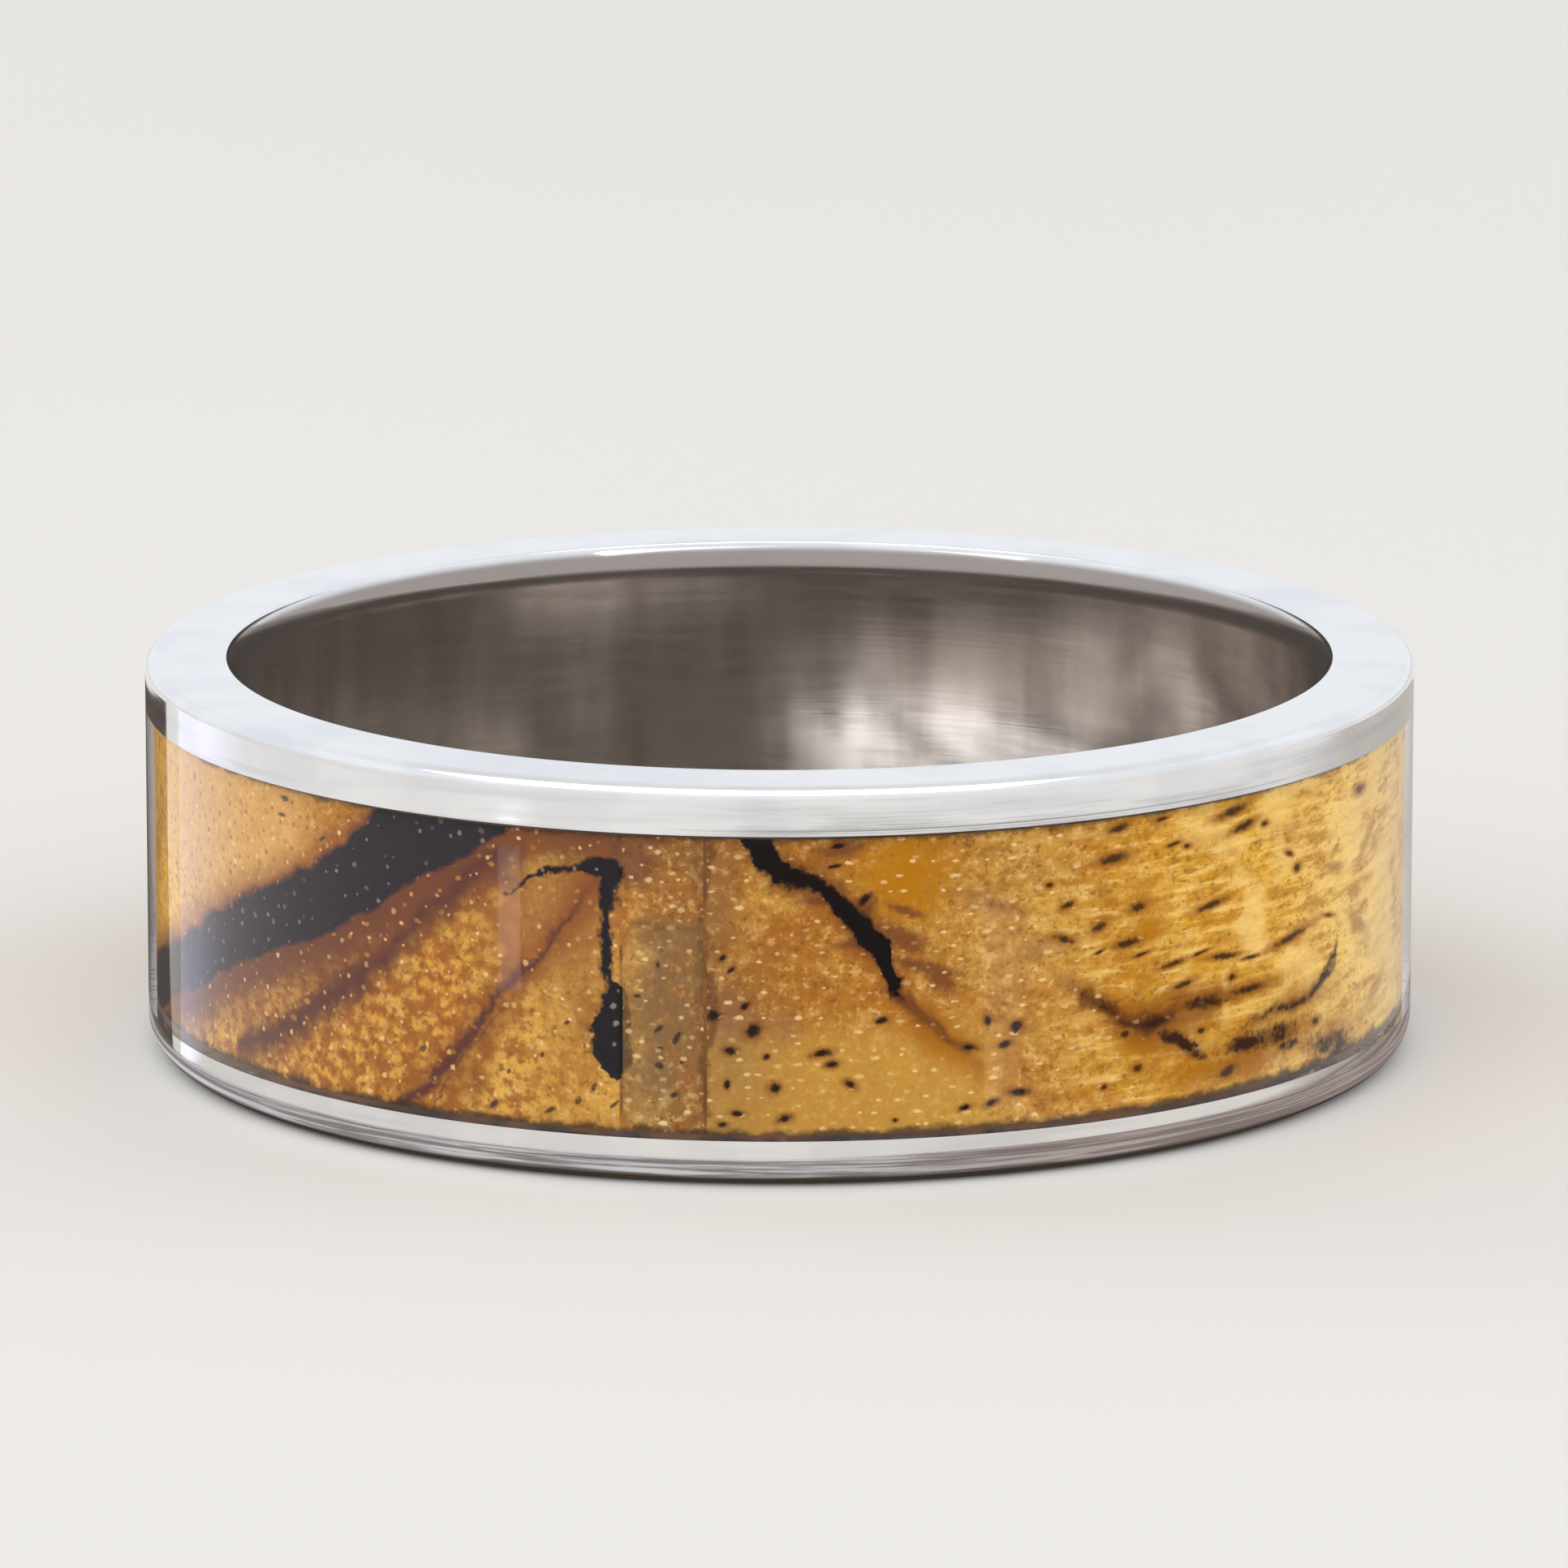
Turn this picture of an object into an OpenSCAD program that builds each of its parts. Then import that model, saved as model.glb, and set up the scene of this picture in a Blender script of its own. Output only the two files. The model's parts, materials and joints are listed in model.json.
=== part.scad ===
// Channel-inlay ring: a polished metal band with an outer channel that holds
// a ring of spalted wood under a clear coat.
// The bore axis is Z, the origin is the centre of the bore at half the band's
// width, and the front of the ring faces -Y. All lengths are in millimetres.

/* [Finger bore] */
// Diameter of the straight part of the bore, 19.4 for ring size 9 1/2
bore_d = 19.4; // [15:0.1:24]
// How far the curved comfort easing reaches in from each rim
comfort_w = 0.65; // [0.4:0.05:1]
// How much the comfort easing opens the bore's radius at the rim
comfort_open = 0.12; // [0.06:0.01:0.2]

/* [Metal] */
// Width of the band along the finger
band_w = 7; // [5:0.1:10]
// Thickness of the metal between the bore and the channel
floor_t = 0.75; // [0.5:0.05:1.2]
// Width of the rail on each side of the channel
rail_w = 0.85; // [0.6:0.05:1.2]
// Radius of the upper rail's outer corner
rail_corner_r = 0.2; // [0.05:0.05:0.3]
// Radius of the lower rail's outer corner, which is eased more
foot_corner_r = 0.6; // [0.1:0.05:0.6]

/* [Inlay] */
// Thickness of the wood
wood_t = 0.59; // [0.4:0.01:1]
// Thickness of the clear coat over the wood, flush with the rails
coat_t = 0.15; // [0.05:0.01:0.3]
// Thickness of the adhesive under the wood
bed_t = 0.06; // [0.03:0.01:0.15]
// Thickness of the adhesive between the wood and each rail
side_glue_t = 0.07; // [0.03:0.01:0.15]

/* [Seams in the wood] */
// Angle from the front of the ring to the seam on its left
left_seam_a = 14; // [5:0.5:60]
// Angle that the narrow closing piece spans, to the right of that seam
key_span_a = 7.5; // [3:0.5:30]
// Angle from the front of the ring to the back seam, counted to the right
back_seam_a = 166; // [90:1:200]
// Thickness of the adhesive in each seam
seam_glue_t = 0.06; // [0.02:0.01:0.15]

/* [Hidden] */
$fn = 180;
spare = 1; // how far a cutting shape runs past what it cuts

// Radii, from the bore outwards
bore_r = bore_d / 2;
channel_r = bore_r + floor_t;
wood_in_r = channel_r + bed_t;
wood_out_r = wood_in_r + wood_t;
band_r = wood_out_r + coat_t;

// Widths along the bore's axis
rim_z = band_w / 2;
channel_w = band_w - 2 * rail_w;
wood_w = channel_w - 2 * side_glue_t;

// The arc that leaves the bore's wall smoothly and is comfort_open further out
// when it reaches the rim
comfort_r = (pow(comfort_w, 2) + pow(comfort_open, 2)) / (2 * comfort_open);

// Seams as angles about the axis: 0 is the front, positive is to the right
left_seam = -left_seam_a;
key_seam = left_seam + key_span_a;
back_seam = back_seam_a;

// ---- shared sections, with the radius along X and the axis along Y ----

// A rectangle between two radii, centred on the ring's width
module ring_section(r_in, r_out, w) {
    translate([r_in, -w / 2]) square([r_out - r_in, w]);
}

// What rounding takes off a square corner that points to +X and +Y
module corner_waste(r) {
    translate([-r, -r]) difference() {
        square(r + spare);
        circle(r);
    }
}

// What the comfort easing takes off the bore's wall at the upper rim
module comfort_waste() {
    translate([bore_r + comfort_r, rim_z - comfort_w]) difference() {
        translate([-comfort_r - spare, 0]) square([comfort_open + spare, comfort_w + spare]);
        circle(comfort_r, $fn = 720);
    }
}

// The same shape at the upper and the lower rim
module at_both_rims() {
    children();
    mirror([0, 1]) children();
}

// ---- shared solids ----

// A wedge about the axis from angle a to angle b that is larger than the ring
module wedge(a, b) {
    steps = ceil((b - a) / 60);
    rotate([0, 0, -90]) linear_extrude(2 * band_w, center = true)
        polygon(2 * band_r * concat([[0, 0]], [for (i = [0:steps])
            let (turn = a + (b - a) * i / steps) [cos(turn), sin(turn)]]));
}

// A slab as thick as a seam that runs outwards from the axis at angle a
module seam_slab(a) {
    rotate([0, 0, a - 90]) translate([0, -seam_glue_t / 2, -band_w])
        cube([2 * band_r, seam_glue_t, 2 * band_w]);
}

// The whole ring of wood, before it is cut
module wood_ring() {
    rotate_extrude() ring_section(wood_in_r, wood_out_r, wood_w);
}

// The wood from seam a to seam b, stopping short of each seam's middle by half
// the thickness of its adhesive
module wood_piece(a, b) {
    difference() {
        intersection() {
            wood_ring();
            wedge(a, b);
        }
        seam_slab(a);
        seam_slab(b);
    }
}

// The adhesive in the seam at angle a
module seam_glue(a) {
    intersection() {
        wood_ring();
        seam_slab(a);
    }
}

// ---- sub-parts ----

module band() {
    color("gainsboro") rotate_extrude() difference() {
        ring_section(bore_r, band_r, band_w);
        ring_section(channel_r, band_r + spare, channel_w);
        translate([band_r, rim_z]) corner_waste(rail_corner_r);
        mirror([0, 1]) translate([band_r, rim_z]) corner_waste(foot_corner_r);
        at_both_rims() comfort_waste();
    }
}

module bed_adhesive() {
    color("saddlebrown") rotate_extrude() difference() {
        ring_section(channel_r, wood_out_r, channel_w);
        ring_section(wood_in_r, wood_out_r + spare, wood_w);
    }
}

module wood_left() { color("peru") wood_piece(back_seam - 360, left_seam); }

module wood_key() { color("goldenrod") wood_piece(left_seam, key_seam); }

module wood_right() { color("burlywood") wood_piece(key_seam, back_seam); }

module seam_glue_left() { color("sienna") seam_glue(left_seam); }

module seam_glue_key() { color("sienna") seam_glue(key_seam); }

module seam_glue_back() { color("sienna") seam_glue(back_seam); }

module clear_coat() {
    color("wheat", 0.4) rotate_extrude() ring_section(wood_out_r, band_r, channel_w);
}

band();
bed_adhesive();
wood_left();
wood_key();
wood_right();
seam_glue_left();
seam_glue_key();
seam_glue_back();
clear_coat();
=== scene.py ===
"""Shows the channel-inlay ring as it looks: mirror-polished white metal round
a ring of spalted wood under a clear coat. Run it in Blender as a script."""

import json
import math

import bmesh
import bpy
from mathutils import Matrix, Vector


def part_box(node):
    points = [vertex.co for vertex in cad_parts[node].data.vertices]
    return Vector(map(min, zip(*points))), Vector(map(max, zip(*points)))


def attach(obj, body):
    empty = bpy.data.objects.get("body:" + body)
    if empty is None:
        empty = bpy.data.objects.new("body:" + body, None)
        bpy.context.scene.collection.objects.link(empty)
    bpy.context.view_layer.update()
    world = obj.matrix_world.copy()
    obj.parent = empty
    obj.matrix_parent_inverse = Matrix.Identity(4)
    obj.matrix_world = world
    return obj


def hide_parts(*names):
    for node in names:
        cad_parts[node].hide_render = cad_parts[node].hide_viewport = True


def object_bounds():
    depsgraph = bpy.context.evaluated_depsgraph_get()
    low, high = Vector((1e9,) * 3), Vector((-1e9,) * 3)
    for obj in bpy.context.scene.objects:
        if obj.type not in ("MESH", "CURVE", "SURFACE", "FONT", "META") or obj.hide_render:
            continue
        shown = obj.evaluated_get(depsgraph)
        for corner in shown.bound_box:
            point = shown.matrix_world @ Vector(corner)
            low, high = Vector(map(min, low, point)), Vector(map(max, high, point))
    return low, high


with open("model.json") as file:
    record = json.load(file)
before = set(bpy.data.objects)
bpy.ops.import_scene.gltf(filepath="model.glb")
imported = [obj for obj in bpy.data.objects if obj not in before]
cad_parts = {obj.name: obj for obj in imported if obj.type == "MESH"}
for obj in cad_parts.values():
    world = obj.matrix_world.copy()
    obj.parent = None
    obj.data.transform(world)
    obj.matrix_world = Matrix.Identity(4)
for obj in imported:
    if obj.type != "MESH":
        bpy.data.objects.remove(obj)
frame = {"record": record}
cad_low, cad_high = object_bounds()

bl_info = {
    "name": "Channel-inlay ring",
    "version": (1, 0, 0),
    "blender": (4, 5, 0),
    "location": "3D View > Sidebar > Ring",
    "description": "Builds a polished ring with a spalted-wood inlay and its stage",
    "category": "Object",
}

MM = 0.001
BODY = "root"
FULL_TURN = 2 * math.pi
MOUNTS = {mount["name"]: mount for mount in frame["record"]["mounts"]}

# Radii and half widths of the ring, from the frame, in metres
BORE_R = MOUNTS["finger_bore"]["dims"]["r_mm"] * MM
BAND_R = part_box("band")[1][0]
RIM_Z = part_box("band")[1][2]
CHANNEL_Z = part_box("clear_coat")[1][2]
WOOD_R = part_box("bed_adhesive")[1][0]
WOOD_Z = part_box("wood_left")[1][2]


def seam_angle(node):
    """The angle of a seam in the wood, from the front (-Y) and positive to the right."""
    low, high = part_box(node)
    return math.atan2(low[0] + high[0], -(low[1] + high[1]))


# The camera: how far it looks down, what it looks at and from how far, in metres
VIEW_TILT = math.radians(12.55)
VIEW_CENTRE = Vector((0.08, 0.226, 1.015)) * MM
VIEW_DISTANCE = 0.219

LEFT_SEAM = seam_angle("seam_glue_left")
KEY_SEAM = seam_angle("seam_glue_key")
BACK_SEAM = seam_angle("seam_glue_back")


# ------------------------ settings

def length(name, description, mm):
    """A property that holds a length, given in millimetres."""
    return bpy.props.FloatProperty(
        name=name, description=description, default=mm * MM, min=0.0, precision=5, unit="LENGTH")


def colour(name, description, value):
    """A property that holds a linear colour."""
    return bpy.props.FloatVectorProperty(
        name=name, description=description, default=value, size=3, min=0.0, max=1.0,
        subtype="COLOR")


class RingShape(bpy.types.PropertyGroup):
    """Small sizes of the ring that its outer box doesn't give."""
    floor_t: length("Channel floor", "Metal between the bore and the channel", 0.75)
    comfort_w: length("Comfort width", "How far the bore's easing reaches in", 0.65)
    comfort_open: length("Comfort opening", "How far the easing opens the bore", 0.12)
    rail_corner: length("Rail corner", "Radius of the upper rail's outer corner", 0.2)
    foot_corner: length("Foot corner", "Radius of the lower rail's outer corner", 0.6)
    bore_corner: length("Bore corner", "Radius of the corner between bore and rim", 0.05)
    bed_t: length("Bed", "Adhesive under the wood", 0.06)
    seam_t: length("Seam", "Adhesive in each seam of the wood", 0.06)
    coat_gap: length("Coat gap", "Clearance between the coat's mesh and the wood", 0.004)
    steps: bpy.props.IntProperty(
        name="Steps", description="Steps in a full turn", default=512, min=64, max=1024)


class RingColours(bpy.types.PropertyGroup):
    """Colours of the ring's finishes."""
    metal: colour("Metal", "Reflection of the polished metal", (0.90, 0.91, 0.92))
    # Darker than the metal: painted shade for the bore
    bore: colour("Bore", "Reflection of the bore", (0.55, 0.50, 0.46))
    gold: colour("Gold", "Clear golden wood", (0.62, 0.33, 0.05))
    pale: colour("Pale", "Pale bleached wood", (0.76, 0.50, 0.17))
    brown: colour("Brown", "Stained brown wood", (0.17, 0.055, 0.018))
    zone: colour("Zone line", "Black lines left by the fungus", (0.010, 0.009, 0.012))
    adhesive: colour("Adhesive", "Cured dark adhesive", (0.03, 0.018, 0.012))
    floor: colour("Floor", "Pale floor", (0.60, 0.588, 0.57))


# ------------------------ shaders

class Value:
    """An output of a shader node. Python's operators on it add Math nodes."""

    def __init__(self, shader, socket):
        self.shader, self.socket = shader, socket

    def maths(self, operation, first, second=0.0):
        return self.shader.node("Math", {"operation": operation}, {0: first, 1: second})

    def __add__(self, other):
        return self.maths("ADD", self, other)

    def __sub__(self, other):
        return self.maths("SUBTRACT", self, other)

    def __rsub__(self, other):
        return self.maths("SUBTRACT", other, self)

    def __mul__(self, other):
        return self.maths("MULTIPLY", self, other)

    def __truediv__(self, other):
        return self.maths("DIVIDE", self, other)

    def __rtruediv__(self, other):
        return self.maths("DIVIDE", other, self)

    def __pow__(self, other):
        return self.maths("POWER", self, other)

    def __neg__(self):
        return self.maths("MULTIPLY", self, -1.0)

    def __abs__(self):
        return self.maths("ABSOLUTE", self)

    def __and__(self, other):
        return self.maths("MINIMUM", self, other)

    def __or__(self, other):
        return self.maths("MAXIMUM", self, other)

    __radd__ = __add__
    __rmul__ = __mul__
    __rand__ = __and__
    __ror__ = __or__

    def other(self, output):
        """Another output of the same node."""
        return Value(self.shader, self.socket.node.outputs[output])

    def step(self, start, end):
        """0 at start and 1 at end, smoothly between them. start may be the larger."""
        low, high = (0.0, 1.0) if start < end else (1.0, 0.0)
        return self.shader.node(
            "MapRange", {"interpolation_type": "SMOOTHSTEP"},
            {"Value": self, "From Min": min(start, end), "From Max": max(start, end),
             "To Min": low, "To Max": high})

    def curve(self, points):
        """A smooth curve through (place, value) points, read at this value."""
        places = [place for place, _ in points]
        values = [value for _, value in points]
        start, span = places[0], places[-1] - places[0]
        low = min(values)
        rise = (max(values) - low) or 1.0
        shaped = self.shader.node(
            "FloatCurve",
            {"points": [((p - start) / span, (v - low) / rise) for p, v in points]},
            {"Value": (self - start) / span})
        return shaped * rise + low


class Shader:
    """A material, or a world, that is built node by node."""

    def __init__(self, name, world=False):
        self.end = "ShaderNodeOutputWorld" if world else "ShaderNodeOutputMaterial"
        self.made = (bpy.data.worlds if world else bpy.data.materials).new(name)
        self.made.use_nodes = True
        self.tree = self.made.node_tree
        self.tree.nodes.clear()

    def node(self, kind, settings=None, inputs=None, output=0):
        """Adds a node, sets it, gives its inputs their values or links, and returns an output."""
        made = self.tree.nodes.new("ShaderNode" + kind)
        for name, value in (settings or {}).items():
            if name == "points":
                curve = made.mapping.curves[0]
                for place, height in value[1:-1]:
                    curve.points.new(place, height)
                curve.points[0].location = value[0]
                curve.points[-1].location = value[-1]
                made.mapping.update()
            elif name == "stops":
                ramp = made.color_ramp
                while len(ramp.elements) < len(value):
                    ramp.elements.new(1.0)
                for element, (place, shade) in zip(ramp.elements, value):
                    element.position, element.color = place, (*shade, 1.0)
            else:
                setattr(made, name, value)
        for key, value in (inputs or {}).items():
            if isinstance(value, Value):
                self.tree.links.new(value.socket, made.inputs[key])
            else:
                made.inputs[key].default_value = value
        return Value(self, made.outputs[output])

    def vector(self, operation, first, second=(0.0, 0.0, 0.0)):
        output = "Value" if operation in ("LENGTH", "DOT_PRODUCT") else "Vector"
        return self.node("VectorMath", {"operation": operation}, {0: first, 1: second}, output)

    def stretch(self, vector, *scale):
        return self.vector("MULTIPLY", vector, scale)

    def join(self, x, y, z=0.0):
        return self.node("CombineXYZ", None, {"X": x, "Y": y, "Z": z})

    def split(self, vector):
        parts = self.node("SeparateXYZ", None, {"Vector": vector})
        return [parts.other(axis) for axis in "XYZ"]

    def mix(self, first, second, factor):
        """Mixes two colours, with the factor as the share of the second."""
        def shade(value):
            return value if isinstance(value, Value) else (*value, 1.0)
        return self.node("Mix", {"data_type": "RGBA"},
                         {0: factor, 6: shade(first), 7: shade(second)}, 2)

    def noise(self, vector, scale, detail=2.0, roughness=0.5, output="Fac"):
        return self.node("TexNoise", None, {
            "Vector": vector, "Scale": scale, "Detail": detail, "Roughness": roughness}, output)

    def cells(self, vector, scale, dimensions="2D"):
        """How far it is to the nearest point of a scatter."""
        return self.node("TexVoronoi", {"voronoi_dimensions": dimensions}, {
            "Vector": vector, "Scale": scale}, "Distance")

    def bump(self, height, strength, distance):
        return self.node("Bump", None, {
            "Height": height, "Strength": strength, "Distance": distance})

    def place(self):
        """The point on the piece in its own frame, in millimetres."""
        where = self.node("TexCoord", None, None, "Object")
        return self.stretch(where, 1 / MM, 1 / MM, 1 / MM)

    def around(self):
        """The point in millimetres, its parts, and how far it is from the ring's axis."""
        at = self.place()
        x, y, z = self.split(at)
        return at, x, y, z, self.vector("LENGTH", self.join(x, y))

    def clear(self, tint=(1.0, 1.0, 1.0)):
        return self.node("BsdfTransparent", None, {"Color": (*tint, 1.0)})

    def glow_on_clear(self, glow, share):
        """Ends a card that is clear apart from its share of a glow."""
        if not isinstance(glow, Value):
            glow = (*glow, 1.0)
        return self.finish(self.node("MixShader", None, {
            0: share, 1: self.clear(),
            2: self.node("Emission", None, {"Color": glow, "Strength": 1.0})}))

    def solid(self, sockets):
        """Ends the material in an ordinary surface."""
        return self.finish(self.node("BsdfPrincipled", None, sockets))

    def finish(self, surface):
        """Ends the material or the world in a surface, and gives it."""
        end = self.tree.nodes.new(self.end)
        self.tree.links.new(surface.socket, end.inputs["Surface"])
        return self.made


# ------------------------ finishes

def metal_finish(colours):
    """Mirror-polished white metal with a darker, less polished bore. Darker clouds and streaks on
    the metal are painted reflections; the bore's darker colour is painted shade, with painted
    reflection streaks.
    """
    shader = Shader("polished metal")
    at, _, _, z, out = shader.around()
    bore = out.step(10.0, 9.88) * abs(z).step(3.45, 3.3)
    lines = shader.noise(shader.join(out * 14.0, z * 14.0, 0.0), 1.0, 3.0)
    cloud = shader.noise(at, 0.6, 2.0)
    smear = shader.noise(shader.stretch(at, 0.5, 0.5, 5.0), 1.0, 3.0)
    reflection_streak = shader.noise(shader.stretch(at, 0.25, 0.25, 5.0), 1.0, 3.0)
    # The darker, bluish clouds and streaks in the metal's colour are painted reflections
    bright = shader.mix(colours.metal, (0.80, 0.81, 0.83), cloud.step(0.45, 0.65) * 0.6)
    bright = shader.mix(bright, (0.76, 0.77, 0.80), reflection_streak.step(0.48, 0.7) * 0.8)
    # Painted shade darkens the bore towards the upper rim, and painted reflections streak it from
    # rim to rim
    reflection_bars = shader.noise(shader.stretch(at, 0.65, 0.65, 0.12), 1.0, 3.0)
    deep = z.step(3.0, 2.4)
    inside = shader.mix(colours.bore, (0.90, 0.86, 0.83), reflection_bars.step(0.5, 0.7) * deep * 0.5)
    inside = shader.mix(inside, (0.24, 0.20, 0.18), reflection_bars.step(0.48, 0.32) * deep * 0.5)
    inside = shader.mix(inside, (0.24, 0.20, 0.18), z.step(0.0, 2.4) * 0.6)
    return shader.solid({
        "Base Color": shader.mix(bright, inside, bore),
        "Metallic": 1.0 - bore * 0.12,
        "Roughness": lines * 0.03 + smear.step(0.4, 0.7) * 0.05 + bore * 0.05 + 0.03,
        "Normal": shader.bump(lines + cloud * 2.0, 0.03, 0.00001)})


def bed_finish(colours):
    """Cured adhesive: glossy, dark where it is thick and warmer where light gets through."""
    shader = Shader("bed adhesive")
    at = shader.place()
    thick = shader.noise(at, 1.3, 4.0).step(0.35, 0.65)
    return shader.solid({
        "Base Color": shader.mix((0.10, 0.04, 0.015), colours.adhesive, thick),
        "Roughness": shader.noise(at, 4.0) * 0.2 + 0.25,
        "Normal": shader.bump(shader.noise(at, 6.0, 3.0), 0.2, 0.00002)})


def coat_finish():
    """The outside of the clear coat: it mirrors more the more it is seen aslant."""
    shader = Shader("clear coat")
    at = shader.place()
    wave = shader.bump(shader.noise(at, 0.5, 2.0), 0.05, 0.0001)
    mirror = shader.node("BsdfGlossy", None, {
        "Color": (1.0, 1.0, 1.0, 1.0), "Roughness": 0.04, "Normal": wave})
    clear = shader.clear((1.0, 0.99, 0.97))
    facing = shader.node("LayerWeight", None, {"Blend": 0.5, "Normal": wave}, "Facing")
    share = facing ** 3.4 * 0.98 + 0.01
    return shader.finish(shader.node("MixShader", None, {0: share, 1: clear, 2: mirror}))


def coat_inside_finish():
    """The clear coat's faces against the wood and the rails, which don't mirror."""
    shader = Shader("clear coat inside")
    return shader.finish(shader.clear())


class Wood(Shader):
    """Spalted wood. Angles on the ring are in degrees from the front, heights in millimetres."""

    # The fibres run from the front to the back, a little to the right and upwards
    FIBRE = (math.radians(7.5), 0.0, math.radians(-15.0))
    ARC = math.radians(1.0) * WOOD_R / MM

    def __init__(self, name, colours):
        super().__init__(name)
        self.colours = colours
        self.at = self.place()
        x, y, self.height = self.split(self.at)
        # The angle jumps from one side to the other at the back seam
        lead = BACK_SEAM - math.pi
        across = x * math.cos(lead) + y * math.sin(lead)
        ahead = x * math.sin(lead) - y * math.cos(lead)
        turned = across.maths("ARCTAN2", across, ahead)
        self.turn = turned * math.degrees(1.0) + math.degrees(lead)
        wander = self.vector("SUBTRACT", self.noise(self.at, 2.2, 4.0, 0.6, "Color"), (0.5,) * 3)
        stray, lift, _ = self.split(wander)
        self.rough_turn = self.turn + stray * 2.4
        self.rough_height = self.height + lift * 0.4
        self.level = self.join(self.turn * self.ARC, self.height)
        self.grain = self.vector("MULTIPLY", self.node("VectorRotate", {
            "rotation_type": "EULER_XYZ", "invert": True}, {
            "Vector": self.at, "Rotation": self.FIBRE}), (1.0, 0.14, 1.0))
        self.grit = self.noise(self.at, 9.0, 2.0, 0.6) - 0.5
        self.shade = None

    def paint(self, colour, share):
        """Covers a share of what is painted so far with a colour."""
        self.shade = self.mix(self.shade, colour, share)

    def between(self, start, end, soft):
        """1 between two angles, fading out over soft degrees past them."""
        return self.turn.step(start - soft, start) * self.turn.step(end + soft, end)

    def stroke(self, centre, width, soft=0.06, ragged=0.1):
        """A line drawn round the ring: centre and half width as (angle, height) points."""
        away = abs(self.rough_height - self.rough_turn.curve(centre))
        inside = self.rough_turn.curve(width) - away + self.grit * ragged
        ends = self.between(centre[0][0], centre[-1][0], 0.6)
        return inside.step(-soft, soft) * ends

    def post(self, centre, width, soft=0.35):
        """A line drawn up the ring: centre and half width as (height, angle) points."""
        away = abs(self.rough_turn - self.rough_height.curve(centre))
        inside = self.rough_height.curve(width) - away + self.grit
        ends = self.rough_height.step(centre[0][0] - 0.05, centre[0][0] + 0.05)
        ends = ends * self.rough_height.step(centre[-1][0] + 0.05, centre[-1][0] - 0.05)
        return inside.step(-soft, soft) * ends

    def near(self, places, ragged=0.8):
        """How far it is to the nearest of some oval marks, as a share of its half size.

        Each mark is an (angle, height, length, width, tilt)."""
        nearest = None
        for tilt in sorted({place[4] for place in places}):
            cos, sin = math.cos(math.radians(tilt)), math.sin(math.radians(tilt))
            tilted = self.join(self.vector("DOT_PRODUCT", self.level, (cos, sin, 0.0)),
                               self.vector("DOT_PRODUCT", self.level, (-sin, cos, 0.0)))
            for turn, height, long, wide, _ in [place for place in places if place[4] == tilt]:
                arc = turn * self.ARC
                ahead, up = arc * cos + height * sin, height * cos - arc * sin
                away = self.vector("LENGTH", self.node(
                    "VectorMath", {"operation": "MULTIPLY_ADD"}, {
                        0: tilted, 1: (2 / long, 2 / wide, 0.0),
                        2: (-2 * ahead / long, -2 * up / wide, 0.0)}))
                nearest = away if nearest is None else nearest & away
        return nearest + self.grit * ragged * 2.0

    def marks(self, places, soft=0.35):
        """Oval pores and stains with ragged edges."""
        return self.near(places).step(1.0 + soft, 1.0 - soft)

    def specks(self, spacing, size, share, stretch=1.0):
        """Small dots, drawn out round the ring, on a share of the cells of a scatter."""
        flat = self.stretch(self.level, 1 / stretch, 1.0, 0.0)
        far = self.cells(flat, 1.0 / spacing)
        pick, strong, small = self.split(far.other("Color"))
        dot = ((far + self.grit * 0.3) * (small + 0.7)).step(size / spacing, size * 0.4 / spacing)
        return dot * pick.step(1.0 - share, 1.001 - share) * (strong * 0.8 + 0.2)

    def body(self, shades, mottle=0.5):
        """Clear wood: a run of colours round the ring, clouded and broken up along the fibres."""
        first, span = shades[0][0], shades[-1][0] - shades[0][0]
        run = self.node("ValToRGB", {
            "stops": [((turn - first) / span, shade) for turn, shade in shades]},
            {"Fac": (self.rough_turn - first) / span})
        cloud = self.noise(self.at, 0.8, 3.0)
        blot = self.noise(self.stretch(self.grain, 1.0, 4.0, 1.0), 3.0, 4.0, 0.65)
        fibre = self.noise(self.grain, 6.0, 4.0, 0.7)
        self.shade = run
        self.paint((0.42, 0.15, 0.02), cloud.step(0.48, 0.68) * 0.5)
        self.paint((0.70, 0.43, 0.09), cloud.step(0.48, 0.32) * 0.4)
        self.paint((0.28, 0.10, 0.015), blot.step(0.5, 0.7) * mottle * 0.8)
        self.paint(self.colours.pale, blot.step(0.48, 0.3) * mottle * 0.6)
        self.paint((0.24, 0.09, 0.02), fibre.step(0.5, 0.68) * mottle * 0.9)
        self.paint(self.colours.pale, fibre.step(0.48, 0.32) * mottle * 0.9)
        self.paint(self.colours.brown, self.grit.step(0.04, 0.24) * mottle)
        flecks = self.specks(0.22, 0.05, 0.4, 1.5)
        self.paint((0.20, 0.075, 0.018), flecks * mottle)

    def finish_wood(self):
        """Ends the wood in a dull surface, because its gloss is the coat's."""
        # Darker along the lower edge, and less along the upper one
        low, high = self.rough_height.step(-2.42, -2.56), self.rough_height.step(2.5, 2.6)
        return self.solid({
            "Base Color": self.mix(self.shade, (0.035, 0.02, 0.014), (low * 0.85) | (high * 0.6)),
            "Roughness": self.grit * 0.2 + 0.55,
            "Specular IOR Level": 0.1,
            "Normal": self.bump(self.grit, 0.3, 0.00002)})


def blotch(wood):
    """The black blotch that the left seam cuts through."""
    return wood.post(
        [(-1.72, -14.1), (-1.58, -14.3), (-1.45, -14.6), (-1.2, -14.8), (-0.8, -14.9),
         (-0.4, -14.7), (-0.1, -14.7), (0.2, -15.3), (0.7, -15.2), (1.1, -15.3), (1.4, -15.1),
         (1.8, -14.8), (2.1, -14.7)],
        [(-1.72, 0.1), (-1.58, 0.7), (-1.45, 1.2), (-1.2, 1.75), (-0.8, 1.7),
         (-0.4, 1.3), (-0.1, 0.8), (0.2, 0.45), (0.7, 0.42), (1.1, 0.45), (1.4, 0.6),
         (1.8, 0.9), (2.1, 1.0)], 0.25)


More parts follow.
